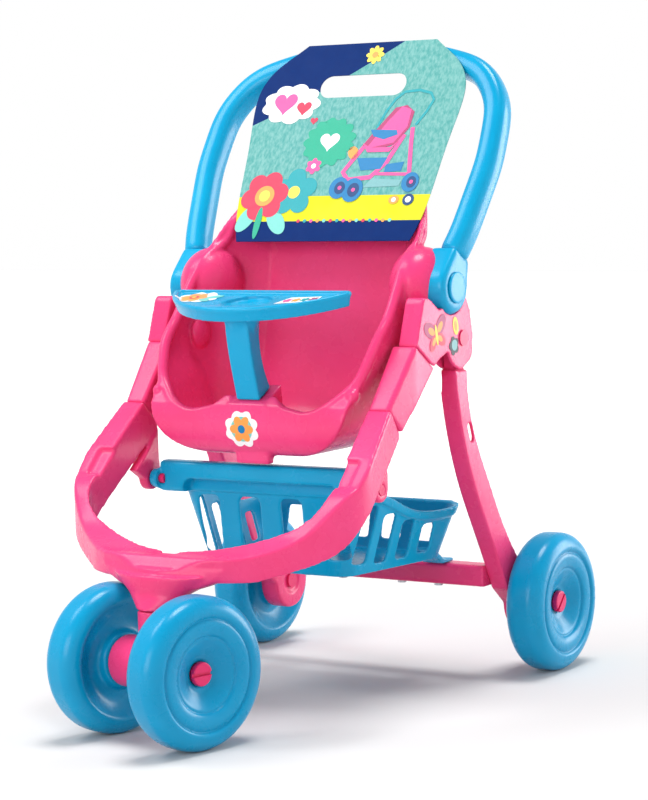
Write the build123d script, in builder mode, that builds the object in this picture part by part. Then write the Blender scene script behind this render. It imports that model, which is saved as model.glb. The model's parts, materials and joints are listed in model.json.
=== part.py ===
from build123d import *
import os
from math import cos, sin, radians

os.makedirs("parts", exist_ok=True)

# A toy stroller for a 30 to 35 cm doll, moulded in pink and blue plastic.
# Millimetres. +Z is up, the front faces -Y, and the origin is on the floor at the centre of the footprint.
# Stations along Y are measured backwards from the front axle; front_axle_y places that axle in the frame.

# ---------------------------------------------------------------- driving dimensions
wheel_radius = 55.0
wheel_half_width = 16.0
hub_inset = 15.0            # wheel mid-plane to the inner hub face
crater_floor = 5.0          # wheel mid-plane to the floor of the outer hub recess
front_track_half = 44.7
rear_track_half = 139.9
wheelbase = 344.5
caster_yaw = -13.3          # degrees, how far the front wheels are turned at rest
front_axle_y = -167.33
kingpin_station = 4.0

pin_radius = 6.25           # wheel pins
running_gap = 0.05          # radial clearance of a shaft in its bore
side_gap = 0.4              # clearance between faces that move past each other

frame_inner = 107.0         # side brackets, rails and legs lie between these two planes
frame_outer = 123.2
rail_inner = 102.0
bracket_wall = 3.2

leg_pivot = (240.0, 273.0)      # station and height
handle_pivot = (225.0, 312.0)
basket_pivot = (142.0, 168.0)
seat_fixing = (200.0, 277.0)
rear_axle = (wheelbase, wheel_radius)
handle_lean = 28.9              # degrees back from upright
card_lean = 28.6

SIDES = {"left": -1, "right": 1}


# ---------------------------------------------------------------- placing helpers
def side_plane(x):
    """Side view at x: local x is the station, local y is the height, and +Z of the plane is +X."""
    return Plane(origin=(x, front_axle_y, 0), x_dir=(0, 1, 0), z_dir=(1, 0, 0))


def top_plane(z):
    """Top view at height z: local x is X, local y is the station."""
    return Plane(origin=(0, front_axle_y, z))


def front_plane(station):
    """Front view: local x is X, local y is the height, and extrusions go towards the front."""
    return Plane(origin=(0, front_axle_y + station, 0), x_dir=(1, 0, 0), z_dir=(0, -1, 0))


def slab(side, near, far):
    """Side view plane at |x| = near and the signed depth that reaches |x| = far."""
    return side_plane(side * near), side * (far - near)


def save(piece, name):
    piece.part.label = name
    export_step(piece.part, "parts/" + name + ".step")


# ---------------------------------------------------------------- wheels and their pins
def wheel_frame(side, yaw, station, track_half):
    """Centre and outward direction of one wheel."""
    outward = Vector(cos(radians(yaw)), sin(radians(yaw)), 0) * side
    return Vector(0, front_axle_y + station, wheel_radius) + outward * track_half, outward


def across(centre, outward, offset):
    """Plane square to the axle, offset along it; its local x is level."""
    return Plane(origin=centre + outward * offset, x_dir=Vector(0, 0, 1).cross(outward), z_dir=outward)


def build_wheel(name, centre, outward):
    w, r = wheel_half_width, wheel_radius
    bore = pin_radius + running_gap
    with BuildPart() as wheel:
        with BuildSketch(Plane(origin=centre, x_dir=outward, z_dir=outward.cross(Vector(0, 0, 1)))):
            with BuildLine():
                Polyline((-hub_inset, bore), (-hub_inset, 20), (-hub_inset + 6, 21.5), (-hub_inset + 8, 30))
                Polyline((-hub_inset + 8, 30), (-w + 3, 40), (-w, 43))
                ThreePointArc((-w, 43), (-w + 4.2, 51.4), (-4.5, r))
                Line((-4.5, r), (4.5, r))
                ThreePointArc((4.5, r), (w - 4.2, 50.6), (w, 41))
                Polyline((w, 41), (w - 1.0, 40.4), (w - 1.0, 39.6), (w - 0.4, 38.8))
                ThreePointArc((w - 0.4, 38.8), (w - 0.9, 33), (w - 2.6, 27))
                Polyline((w - 2.6, 27), (w - 3.8, 26.2), (crater_floor + 1, 15), (crater_floor, 13),
                         (crater_floor, bore), (-hub_inset, bore))
            make_face()
        revolve(axis=Axis(centre, outward))
    save(wheel, name)


def build_wheel_pin(name, centre, outward, depth, slot_angle):
    """A push-in pin: slotted head in the hub recess, shank through the wheel, depth past the hub face."""
    head_base = crater_floor + side_gap
    shank = head_base + hub_inset + side_gap + depth
    with BuildPart() as pin:
        with BuildSketch(across(centre, outward, head_base - shank)):
            Circle(pin_radius)
        extrude(amount=shank)
        with BuildSketch(across(centre, outward, head_base)):
            Circle(8.6)
        extrude(amount=3.6)
        fillet(pin.edges().filter_by(GeomType.CIRCLE).sort_by(Axis(centre, outward))[-1], 1.2)
        with BuildSketch(across(centre, outward, head_base + 3.6)):
            Rectangle(20, 2.4, rotation=slot_angle)
        extrude(amount=-2.2, mode=Mode.SUBTRACT)
    save(pin, name)


barrel_half = front_track_half - hub_inset - side_gap
for side_name, side in SIDES.items():
    centre, outward = wheel_frame(side, caster_yaw, 0, front_track_half)
    build_wheel("front_wheel_" + side_name, centre, outward)
    build_wheel_pin("front_axle_pin_" + side_name, centre, outward, 16, 0)
    centre, outward = wheel_frame(side, 0, wheelbase, rear_track_half)
    build_wheel("rear_wheel_" + side_name, centre, outward)
    build_wheel_pin("rear_axle_pin_" + side_name, centre, outward, 17, 45)


# ---------------------------------------------------------------- front caster
neck_top = 94.2
neck_radius = 12.5
kingpin_radius = 3.6
bow_foot = neck_top + side_gap
front_centre, axle_dir = wheel_frame(1, caster_yaw, 0, 0)

with BuildPart() as caster_body:
    with BuildSketch(across(front_centre, axle_dir, -barrel_half)):
        Circle(19)
    extrude(amount=2 * barrel_half)
    chamfer(caster_body.edges().filter_by(GeomType.CIRCLE), 1.2)
    with BuildSketch(top_plane(wheel_radius)):
        with Locations((0, kingpin_station)):
            Circle(neck_radius)
    extrude(amount=neck_top - wheel_radius)
    with BuildSketch(across(front_centre, axle_dir, -barrel_half)):
        Circle(pin_radius)
    extrude(amount=2 * barrel_half, mode=Mode.SUBTRACT)
    with BuildSketch(top_plane(68)):
        with Locations((0, kingpin_station)):
            Circle(kingpin_radius)
    extrude(amount=neck_top, mode=Mode.SUBTRACT)
save(caster_body, "caster_body")

with BuildPart() as caster_kingpin:
    with BuildSketch(top_plane(68)):
        with Locations((0, kingpin_station)):
            Circle(kingpin_radius)
    extrude(amount=112.5 - 68)
    with BuildSketch(top_plane(110)):
        with Locations((0, kingpin_station)):
            Circle(4.8)
    extrude(amount=2.5)
save(caster_kingpin, "caster_kingpin")


# ---------------------------------------------------------------- front bow with the two rail sockets
def bow_top_view(z):
    """The bow band in the top view, from one socket mouth round the prow to the other."""
    with BuildSketch(top_plane(z)) as view:
        with BuildLine():
            Line((118.8, 153), (128, 96))
            Spline((128, 96), (123.5, 73), (106, 54), (74, 29), (52, 15), tangents=[(0.05, -1), (-1, -0.5)])
            Line((52, 15), (0, 0))
            Line((0, 0), (0, 26))
            Spline((0, 26), (40, 35), (78, 50), (103, 64), (106, 86), tangents=[(1, 0.05), (-0.05, 1)])
            Line((106, 86), (100, 153))
            Line((100, 153), (118.8, 153))
        make_face()
        mirror(about=Plane.YZ)
    return view.sketch


def bow_side_view(x):
    """The bow band in the side view, from the socket mouth down to the prow."""
    with BuildSketch(side_plane(x)) as view:
        with BuildLine():
            Polyline((135, 228), (98, 196), (80, 178))
            Spline((80, 178), (63, 164), (50, 147), (36, 137.5), (12, 132))
            Polyline((12, 132), (-2, 114.5), (28, 114.5))
            Spline((28, 114.5), (45, 121), (62, 130), (78, 144), (92, 157))
            Polyline((92, 157), (109, 171), (151, 205), (151, 210), (135, 228))
        make_face()
    return view.sketch


lug_half = 9.5
with BuildPart() as front_bow:
    extrude(bow_top_view(80), amount=180)
    extrude(bow_side_view(-140), amount=280, mode=Mode.INTERSECT)
    with BuildSketch(top_plane(bow_foot)):
        with Locations((0, kingpin_station)):
            Circle(neck_radius + 0.5)
    with BuildSketch(top_plane(106)):
        with Locations((0, 10)):
            Ellipse(25.5, 12.8)
    with BuildSketch(top_plane(119)):
        with Locations((0, 15)):
            Ellipse(42, 17.5)
    loft(ruled=True)
    # shallow notch in the middle of the inner rim
    with BuildSketch(top_plane(128)):
        with Locations((0, 26)):
            Rectangle(15, 7)
    extrude(amount=20, mode=Mode.SUBTRACT)
    for side in SIDES.values():
        plane, depth = slab(side, 100, 108)
        with BuildSketch(plane):
            with BuildLine():
                Polyline((120, 176), (132, 186), (151, 206), (basket_pivot[0] + lug_half, basket_pivot[1]))
                ThreePointArc((basket_pivot[0] + lug_half, basket_pivot[1]),
                              (basket_pivot[0], basket_pivot[1] - lug_half),
                              (basket_pivot[0] - lug_half, basket_pivot[1]))
                Line((basket_pivot[0] - lug_half, basket_pivot[1]), (120, 176))
            make_face()
        extrude(amount=depth)
        plane, depth = slab(side, 98, 110)
        with BuildSketch(plane):
            with Locations(basket_pivot):
                Circle(4)
        extrude(amount=depth, mode=Mode.SUBTRACT)
        # window pocket in the sloping front face of the socket
        window = Plane(origin=(side * 109, front_axle_y + 89, 187), x_dir=(side, 0, 0),
                       z_dir=(0, -sin(radians(44)), cos(radians(44))))
        with BuildSketch(window.offset(6)):
            RectangleRounded(16.5, 25, 2)
        extrude(amount=-9, mode=Mode.SUBTRACT)
    with BuildSketch(top_plane(bow_foot)):
        with Locations((0, kingpin_station)):
            Circle(kingpin_radius + running_gap)
    extrude(amount=18, mode=Mode.SUBTRACT)
    with BuildSketch(top_plane(109.4)):
        with Locations((0, kingpin_station)):
            Circle(5.4)
    extrude(amount=4, mode=Mode.SUBTRACT)
save(front_bow, "front_bow")


# ---------------------------------------------------------------- rails, side brackets and their pins
hub_radius = 19.5
for side_name, side in SIDES.items():
    with BuildPart() as front_rail:
        plane, depth = slab(side, rail_inner, frame_outer - 0.4)
        with BuildSketch(plane):
            Polygon((171, 272), (135, 228), (151, 210), (197, 253.4), align=None)
        extrude(amount=depth)
        with BuildSketch(top_plane(190)):
            Polygon((side * 100, 130), (side * 119, 130), (side * 123, 172), (side * 123, 210),
                    (side * 102, 210), align=None)
        extrude(amount=100, mode=Mode.INTERSECT)
        chamfer(front_rail.edges().filter_by(lambda e: e.length > 40), 1.6)
        plane, depth = slab(side, frame_inner + bracket_wall + 0.3, frame_outer - bracket_wall - 0.3)
        with BuildSketch(plane):
            Polygon((178.5, 266.6), (190, 258.4), (197, 272), (186, 282), align=None)
        extrude(amount=depth)
    save(front_rail, "front_rail_" + side_name)

    with BuildPart() as side_bracket:
        plane, depth = slab(side, frame_inner, frame_outer)
        with BuildSketch(plane):
            with BuildLine():
                Polyline((171, 272), (182, 303), (185, 307), (192, 305.5), (206, 296.5), (244.5, 307),
                         (252, 294), (255.5, 276), (255, 262))
                ThreePointArc((255, 262), (252, 257), (246, 253))
                Line((246, 253), (237, 249))
                ThreePointArc((237, 249), (224.5, 254.2), (217.5, 264))
                Polyline((217.5, 264), (213.5, 262.5), (205, 259.5), (197, 255), (192, 257), (171, 272))
            make_face()
            with Locations(handle_pivot):
                Circle(hub_radius + 0.8, mode=Mode.SUBTRACT)
        extrude(amount=depth)
        fillet(side_bracket.edges().filter_by(Axis.X).group_by(Axis.Z)[-1], 2)
        plane, depth = slab(side, frame_inner + bracket_wall, frame_outer - bracket_wall)
        with BuildSketch(plane):
            Polygon((175.5, 266), (186, 300), (196, 294), (209, 286), (236, 286), (246, 293),
                    (252.5, 275), (252.5, 240), (190, 240), align=None)
        extrude(amount=depth, mode=Mode.SUBTRACT)
        plane, depth = slab(side, frame_inner - 1, frame_outer + 1)
        with BuildSketch(plane):
            with Locations(leg_pivot):
                Circle(5)
        extrude(amount=depth, mode=Mode.SUBTRACT)
        plane, depth = slab(side, frame_inner - 1, frame_inner + bracket_wall + 1)
        with BuildSketch(plane):
            with Locations(seat_fixing):
                Circle(2.5)
        extrude(amount=depth, mode=Mode.SUBTRACT)
    save(side_bracket, "side_bracket_" + side_name)

    with BuildPart() as leg_pivot_pin:
        plane, depth = slab(side, frame_inner - 2.5, frame_outer + 1.2)
        with BuildSketch(plane):
            with Locations(leg_pivot):
                Circle(5)
        extrude(amount=depth)
        for start, end, radius in ((frame_inner - 2.5, frame_inner, 7), (frame_outer, frame_outer + 1.2, 6)):
            plane, depth = slab(side, start, end)
            with BuildSketch(plane):
                with Locations(leg_pivot):
                    Circle(radius)
            extrude(amount=depth)
    save(leg_pivot_pin, "leg_pivot_pin_" + side_name)

    with BuildPart() as basket_pivot_pin:
        plane, depth = slab(side, 88, 108)
        with BuildSketch(plane):
            with Locations(basket_pivot):
                Circle(4)
        extrude(amount=depth)
    save(basket_pivot_pin, "basket_pivot_pin_" + side_name)


# ---------------------------------------------------------------- rear legs and crossbar
crossbar_box = (290.0, 310.0, 72.0, 89.0)      # first and last station, bottom and top
foot_radius = 23.0
leg_inner = 108.0
foot_outer = rear_track_half - hub_inset - side_gap
for side_name, side in SIDES.items():
    with BuildPart() as rear_leg:
        plane, depth = slab(side, leg_inner, frame_outer)
        with BuildSketch(plane):
            with BuildLine():
                Spline((227.5, 249.5), (238, 197), (251, 163), (276, 118), (290, 94), (303, 70))
                Line((303, 70), (321.5, 55))
                ThreePointArc((321.5, 55), (344.5, 32), (367.5, 55))
                Polyline((367.5, 55), (355, 72), (330, 84))
                Spline((330, 84), (296, 126), (276, 160), (258, 193), (245.5, 248.6))
                ThreePointArc((245.5, 248.6), (236.5, 248.2), (227.5, 249.5))
            make_face()
        extrude(amount=depth)
        plane, depth = slab(side, leg_inner, foot_outer)
        with BuildSketch(plane):
            with Locations(rear_axle):
                Circle(foot_radius)
        extrude(amount=depth)
        # the leg is a channel, open to the rear
        plane, depth = slab(side, leg_inner + 3.2, frame_outer - 3.2)
        with BuildSketch(plane):
            with BuildLine():
                Spline((233, 236), (243, 197), (256.5, 164), (280, 122), (293, 101))
                Line((293, 101), (322, 108))
                Spline((322, 108), (291, 148), (269, 194), (258, 234))
                Line((258, 234), (233, 236))
            make_face()
        extrude(amount=depth, mode=Mode.SUBTRACT)
        plane, depth = slab(side, frame_inner + bracket_wall + side_gap, frame_outer - bracket_wall - side_gap)
        with BuildSketch(plane):
            with Locations(leg_pivot):
                Circle(11)
            Polygon((229.5, 268), (231, 240), (245, 235), (250.5, 268), align=None)
        extrude(amount=depth)
        plane, depth = slab(side, leg_inner, frame_outer)
        with BuildSketch(plane):
            with Locations(leg_pivot):
                Circle(5 + running_gap)
        extrude(amount=depth, mode=Mode.SUBTRACT)
        # oblong latch slot in the outer wall
        plane, depth = slab(side, frame_outer - 4, frame_outer + 1)
        with BuildSketch(plane):
            with Locations(Location((249.5, 200), -70)):
                SlotOverall(16, 6)
        extrude(amount=depth, mode=Mode.SUBTRACT)
        plane, depth = slab(side, leg_inner - 1, foot_outer + 1)
        with BuildSketch(plane):
            with Locations(rear_axle):
                Circle(pin_radius)
        extrude(amount=depth, mode=Mode.SUBTRACT)
        plane, depth = slab(side, leg_inner, leg_inner + 2.5)
        with BuildSketch(plane):
            with Locations(rear_axle):
                Circle(11)
        extrude(amount=depth, mode=Mode.SUBTRACT)
    save(rear_leg, "rear_leg_" + side_name)

with BuildPart() as rear_crossbar:
    first, last, bottom, top = crossbar_box
    with BuildSketch(side_plane(-leg_inner)):
        with Locations(((first + last) / 2, (bottom + top) / 2)):
            RectangleRounded(last - first, top - bottom, 3)
    extrude(amount=2 * leg_inner)
save(rear_crossbar, "rear_crossbar")

with BuildPart() as crossbar_screws:
    with BuildSketch(top_plane(crossbar_box[2])):
        with Locations((-62, 300), (-28, 300), (28, 300), (62, 300)):
            Circle(3.5)
    extrude(amount=-2.4)
save(crossbar_screws, "crossbar_screws")


# ---------------------------------------------------------------- seat bucket
back_foot = (236.0, 236.0)      # a point of the outer back line, in station and height
back_lean = 16.96               # degrees
pommel_half = 17.0


def pommel_top(station):
    """Height of the sloping seat of the tray stem."""
    return 231 + (station - 128) * 0.55


def seat_side_view(x):
    """Outer side view of the bucket: front lip, bottom, back, and the rim of the side wings."""
    with BuildSketch(side_plane(x)) as view:
        with BuildLine():
            Spline((126.5, 229), (124, 210), (131, 194), (150, 189.5), (196, 194),
                   (222, 206), (236, 236), (262, 330), (297, 444))
            Polyline((297, 444), (297, 450), (290, 450))
            Spline((290, 450), (276, 416), (262, 391), (253, 377), (239.5, 363), (224.5, 348), (210, 337),
                   (203, 330), (193, 318), (182, 303), (173, 291), (164, 283), (155, 273), (148, 260), (142, 247))
            Polyline((142, 247), (133, 236.5), (126.5, 229))
        make_face()
    return view.sketch


def seat_front_view(station, wall=0.0):
    """Front view of the bucket; wall moves the outline inwards."""
    t = wall
    with BuildSketch(front_plane(station)) as view:
        with BuildLine():
            Spline((0, 189 + t), (45, 191 + t), (69 - t * 0.6, 199 + t * 0.8), (84 - t, 214), (92 - t, 243),
                   (98 - t, 265), (100 - t, 285), (99.5 - t, 310), (96.5 - t, 335), (92.5 - t, 365),
                   (87 - t, 385), (75 - t * 0.9, 415), (45, 441 - t), (0, 448 - t), tangents=[(1, 0), (-1, 0)])
            Line((0, 448 - t), (0, 189 + t))
        make_face()
        mirror(about=Plane.YZ)
    return view.sketch


def seat_wrap(wall=0.0):
    """Section square to the back: a flat back panel that sweeps forwards into the side wings."""
    t = wall
    lean = radians(back_lean)
    plane = Plane(origin=(0, front_axle_y + back_foot[0], back_foot[1]), x_dir=(1, 0, 0),
                  z_dir=(0, -sin(lean), -cos(lean)))
    with BuildSketch(plane.offset(-260)) as view:
        with BuildLine():
            Line((0, t), (46, t))
            Spline((46, t), (66 - t * 0.4, 6 + t * 0.9), (81 - t * 0.7, 18 + t * 0.7), (92 - t * 0.85, 34 + t * 0.4),
                   (97.5 - t, 50), (102 - t, 72), tangents=[(1, 0), (0, 1)])
            Polyline((102 - t, 72), (102 - t, 260), (0, 260), (0, t))
        make_face()
        mirror(about=Plane.YZ)
    return view.sketch


seat_wall = 3.0
lug_face = 97.0             # the handle bosses turn against the seat at this |x|
with BuildPart() as seat_cavity:
    extrude(seat_front_view(310, seat_wall), amount=240)
    with BuildSketch(side_plane(-110)):
        with BuildLine():
            Polyline((133.5, 470), (133.5, 213))
            Spline((133.5, 213), (141, 202.5), (158, 198.5), (196, 198.5), (216, 208), (231, 238),
                   (257.5, 331), (293, 446))
            Polyline((293, 446), (293, 470), (133.5, 470))
        make_face()
    extrude(amount=220, mode=Mode.INTERSECT)
    extrude(seat_wrap(seat_wall), amount=360, mode=Mode.INTERSECT)

with BuildPart() as seat_bucket:
    extrude(seat_front_view(310), amount=200)
    extrude(seat_side_view(-110), amount=220, mode=Mode.INTERSECT)
    extrude(seat_wrap(), amount=360, mode=Mode.INTERSECT)
    add(seat_cavity.part, mode=Mode.SUBTRACT)
    # pommel behind the lip, between the legs of the doll
    with BuildSketch(side_plane(-pommel_half)):
        Polygon((125.5, 205), (125.5, 229), (127, pommel_top(127)), (150, pommel_top(150)), (153, 196),
                (135, 196), align=None)
    extrude(amount=2 * pommel_half)
    with BuildSketch(side_plane(-pommel_half)):
        Polygon((120, pommel_top(120)), (153, pommel_top(153)), (153, 262), (120, 262), align=None)
    extrude(amount=2 * pommel_half, mode=Mode.SUBTRACT)
    # the crest of the lip: a dip for each leg, rising into the wings
    with BuildSketch(front_plane(141)):
        with BuildLine():
            Line((0, 246), (16, 243))
            Spline((16, 243), (23, 236), (31, 229), (41, 225), (52, 223.5), (62, 226), (72, 232), (80, 239),
                   (88, 248), (104, 272))
            Polyline((104, 272), (104, 300), (0, 300), (0, 246))
        make_face()
        mirror(about=Plane.YZ)
    extrude(amount=40, mode=Mode.SUBTRACT)
    for side in SIDES.values():
        # bearing lug for the handle and the mounting pads against the side brackets
        plane, depth = slab(side, 79, lug_face)
        with BuildSketch(plane):
            with Locations(handle_pivot):
                Circle(15)
        extrude(amount=depth)
        plane, depth = slab(side, 90, frame_inner)
        with BuildSketch(plane):
            with Locations(seat_fixing):
                Circle(9)
        extrude(amount=depth)
        plane, depth = slab(side, 86, lug_face + 1)
        with BuildSketch(plane):
            with Locations(handle_pivot):
                Circle(6)
        extrude(amount=depth, mode=Mode.SUBTRACT)
        plane, depth = slab(side, 88, frame_inner + 1)
        with BuildSketch(plane):
            with Locations(seat_fixing):
                Circle(2.5)
        extrude(amount=depth, mode=Mode.SUBTRACT)
    # socket for the tray stem, and the small tab below the lip
    with BuildSketch(top_plane(213)):
        with Locations((0, 138)):
            Rectangle(16.8, 8.8)
    extrude(amount=40, mode=Mode.SUBTRACT)
    with BuildSketch(top_plane(184)):
        with Locations((0, 136)):
            RectangleRounded(30, 9, 2)
    extrude(amount=8)
save(seat_bucket, "seat_bucket")

for side_name, side in SIDES.items():
    with BuildPart() as seat_screw:
        plane, depth = slab(side, 90, frame_inner + bracket_wall + 1.5)
        with BuildSketch(plane):
            with Locations(seat_fixing):
                Circle(2.5)
        extrude(amount=depth)
        plane, depth = slab(side, frame_inner + bracket_wall, frame_inner + bracket_wall + 2.5)
        with BuildSketch(plane):
            with Locations(seat_fixing):
                Circle(5)
        extrude(amount=depth)
    save(seat_screw, "seat_screw_" + side_name)


# ---------------------------------------------------------------- handle, hubs, pins and caps
handle_frame = Plane(origin=(0, front_axle_y + 223.5, 312), x_dir=(1, 0, 0),
                     z_dir=(0, -cos(radians(handle_lean)), sin(radians(handle_lean))))
tube_width = 19.0
tube_depth = 22.0
tube_foot = 28.8            # distance from the level of the pivot up to the seam with the hub
hub_inner = 105.0
hub_outer = 127.0
with BuildPart() as handle_tube:
    with BuildSketch(handle_frame):
        with BuildLine() as tube_line:
            FilletPolyline((116, tube_foot - 9), (122.5, 42), (130.3, 106), (127.5, 155), (107, 187), (57, 201.5),
                           (-57, 201.5), (-107, 187), (-127.5, 155), (-130.3, 106), (-122.5, 42),
                           (-116, tube_foot - 9), radius=44)
        trace(tube_line.line, line_width=tube_width)
        with Locations((0, tube_foot - 20)):
            Rectangle(300, 40, mode=Mode.SUBTRACT)
    extrude(amount=tube_depth / 2, both=True)
    chamfer(handle_tube.edges().filter_by(lambda e: abs(handle_frame.to_local_coords(e.center()).Z) > 10), 5)
save(handle_tube, "handle_tube")

for side_name, side in SIDES.items():
    with BuildPart() as handle_hub:
        plane, depth = slab(side, hub_inner, hub_outer)
        with BuildSketch(plane):
            with Locations(handle_pivot):
                Circle(hub_radius)
            with Locations(Location((236.5, 335.4), -handle_lean)):
                Rectangle(23, 4)
            make_hull()
        extrude(amount=depth)
        fillet(handle_hub.edges().filter_by(GeomType.CIRCLE).group_by(Axis.X)[-1 if side > 0 else 0], 3)
        plane, depth = slab(side, lug_face + side_gap, hub_inner)
        with BuildSketch(plane):
            with Locations(handle_pivot):
                Circle(13)
        extrude(amount=depth)
        plane, depth = slab(side, lug_face, 123.6)
        with BuildSketch(plane):
            with Locations(handle_pivot):
                Circle(6 + running_gap)
        extrude(amount=depth, mode=Mode.SUBTRACT)
    save(handle_hub, "handle_hub_" + side_name)

    with BuildPart() as handle_pivot_pin:
        plane, depth = slab(side, 86, 123.2)
        with BuildSketch(plane):
            with Locations(handle_pivot):
                Circle(6)
        extrude(amount=depth)
    save(handle_pivot_pin, "handle_pivot_pin_" + side_name)

    with BuildPart() as hub_cap:
        plane, depth = slab(side, hub_outer, hub_outer + 1.8)
        with BuildSketch(plane):
            with Locations(handle_pivot):
                Circle(12.5)
        extrude(amount=depth)
        fillet(hub_cap.edges().filter_by(GeomType.CIRCLE).group_by(Axis.X)[-1 if side > 0 else 0], 1.2)
    save(hub_cap, "hub_cap_" + side_name)


# ---------------------------------------------------------------- play tray on its stem
tray_tilt = 11.0
tray_half = 80.0
tray_depth = 58.0
tray_thickness = 11.0
stem_half = 10.5
tray_frame = Plane(origin=(0, front_axle_y + 156, 314), x_dir=(1, 0, 0),
                   z_dir=(0, -sin(radians(tray_tilt)), cos(radians(tray_tilt))))


def tray_outline(plane, inset):
    """Half-moon outline with a straight back edge, moved inwards by inset."""
    w, d = tray_half - inset, tray_depth - inset
    with BuildSketch(plane) as view:
        with BuildLine():
            Polyline((-w, -7), (-w + 0.6, -4), (-w + 5, -inset), (w - 5, -inset), (w - 0.6, -4), (w, -7))
            ThreePointArc((w, -7), (0, -d), (-w, -7))
        make_face()
    return view.sketch


with BuildPart() as tray:
    extrude(tray_outline(tray_frame, 0), amount=-tray_thickness, taper=12)
    extrude(tray_outline(tray_frame, 3.5), amount=-2.5, mode=Mode.SUBTRACT)
    with BuildSketch(tray_frame.offset(-2.5)):
        with Locations((0, -27)):
            Circle(20)
    extrude(amount=-3.5, mode=Mode.SUBTRACT)
    with BuildSketch(side_plane(-stem_half)):
        with BuildLine():
            Line((113, 296), (116, 290))
            Spline((116, 290), (118, 275), (123.5, 252), (129, pommel_top(129) + 0.5))
            Line((129, pommel_top(129) + 0.5), (145, pommel_top(145) + 0.5))
            Spline((145, pommel_top(145) + 0.5), (137, 257), (132.5, 275), (133, 290))
            Polyline((133, 290), (136, 301), (113, 296))
        make_face()
    extrude(amount=2 * stem_half)
    with BuildSketch(top_plane(214)):
        with Locations((0, 138)):
            Rectangle(16, 8)
    extrude(amount=24)
save(tray, "tray")


# ---------------------------------------------------------------- shopping basket
basket_wall = 2.8
basket_floor = 97.0
rim_band = 7.0              # height of the rolled rim
beam_end = 98.0


def basket_section(z, wall=0.0):
    """Plan of the basket at height z: wider at the back, and flaring upwards."""
    rise = (z - basket_floor) / 45
    front, back = 160 - 5 * rise + wall, 279 + 11 * rise - wall
    front_half, back_half = 64 + 13 * rise - wall, 82 + 14 * rise - wall
    with BuildSketch(top_plane(z)) as view:
        Polygon((-front_half, front), (front_half, front), (back_half, back), (-back_half, back), align=None)
        fillet(view.vertices(), 15 - wall)
    return view.sketch


def basket_rim(drop):
    """Side view of the space above the rim, lowered by drop."""
    with BuildSketch(side_plane(-120)) as view:
        with BuildLine():
            Line((120, 200), (152, 182 - drop))
            Spline((152, 182 - drop), (166, 165 - drop), (190, 155 - drop), (213, 145 - drop), (240, 138.5 - drop),
                   (276, 138 - drop), (300, 142 - drop))
            Polyline((300, 142 - drop), (320, 200), (120, 200))
        make_face()
    return view.sketch


with BuildPart() as basket:
    loft([basket_section(basket_floor, -2.2), basket_section(182, -2.2)])
    extrude(basket_rim(rim_band), amount=240, mode=Mode.INTERSECT)
    loft([basket_section(basket_floor), basket_section(182)])
    loft([basket_section(basket_floor + basket_wall, basket_wall), basket_section(183, basket_wall)],
         mode=Mode.SUBTRACT)
    extrude(basket_rim(0), amount=240, mode=Mode.SUBTRACT)
    # front beam between the two lugs, with the face of the basket recessed under it
    with BuildSketch(side_plane(-beam_end + 6)):
        with Locations((147, 170)):
            RectangleRounded(15, 24, 4)
    extrude(amount=2 * (beam_end - 6))
    with BuildSketch(front_plane(151)):
        with Locations((0, 154)):
            RectangleRounded(142, 30, 8)
    extrude(amount=30, mode=Mode.SUBTRACT)
    for side in SIDES.values():
        plane, depth = slab(side, beam_end - 6, beam_end + 1.5)
        with BuildSketch(plane):
            with Locations(basket_pivot):
                Circle(8.5)
        extrude(amount=depth, taper=12)
        plane, depth = slab(side, 88, beam_end + 3)
        with BuildSketch(plane):
            with Locations(basket_pivot):
                Circle(4 + running_gap)
        extrude(amount=depth, mode=Mode.SUBTRACT)
    # slots in the front wall, windows in the back wall, and slots in the sides
    with BuildSketch(front_plane(175)):
        with Locations((-57, 132.5), (-19, 132.5), (19, 132.5), (57, 132.5)):
            RectangleRounded(19, 45, 5)
    extrude(amount=24, mode=Mode.SUBTRACT)
    with BuildSketch(front_plane(305)):
        with Locations((-60, 119), (-30, 119), (0, 119), (30, 119), (60, 119)):
            RectangleRounded(18, 22, 3)
    extrude(amount=42, mode=Mode.SUBTRACT)
    with BuildSketch(side_plane(-120)):
        for station, bottom, top in ((172, 106, 151), (196, 104, 142), (221, 104, 134), (247, 105, 128)):
            with Locations((station, (bottom + top) / 2)):
                RectangleRounded(14.5, top - bottom, 4)
    extrude(amount=240, mode=Mode.SUBTRACT)
    # two feet behind the basket rest on the crossbar
    for start in (-75, 57):
        with BuildSketch(side_plane(start)):
            Polygon((262, 97), (274, 97), (284, 90), (302, 89.4), (302, 92.4), (287, 93.5), (275, 103),
                    (262, 103), align=None)
        extrude(amount=18)
save(basket, "basket")


# ---------------------------------------------------------------- printed header card
card_middle = 4.0
card_frame = Plane(origin=(card_middle, front_axle_y + 230.5, 347), x_dir=(1, 0, 0),
                   z_dir=(0, -cos(radians(card_lean)), sin(radians(card_lean))))
card_thickness = 0.8
with BuildPart() as header_card:
    with BuildSketch(card_frame):
        with BuildLine():
            Spline((80, 0), (86.5, 25), (89.5, 52), (93, 90), (96.5, 120), (95.5, 136), (87, 153), (73, 166),
                   (60, 176.5))
            Polyline((60, 176.5), (0, 176.5), (0, 0), (80, 0))
        make_face()
        mirror(about=Plane.YZ)
        with Locations((1.5, 137.5)):
            SlotOverall(80, 20, mode=Mode.SUBTRACT)
    extrude(amount=card_thickness)
save(header_card, "header_card")
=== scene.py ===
import json
from math import cos, pi, radians, sin, sqrt, tan

import bmesh
import bpy
from mathutils import Matrix, Vector
from mathutils.bvhtree import BVHTree

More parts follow.
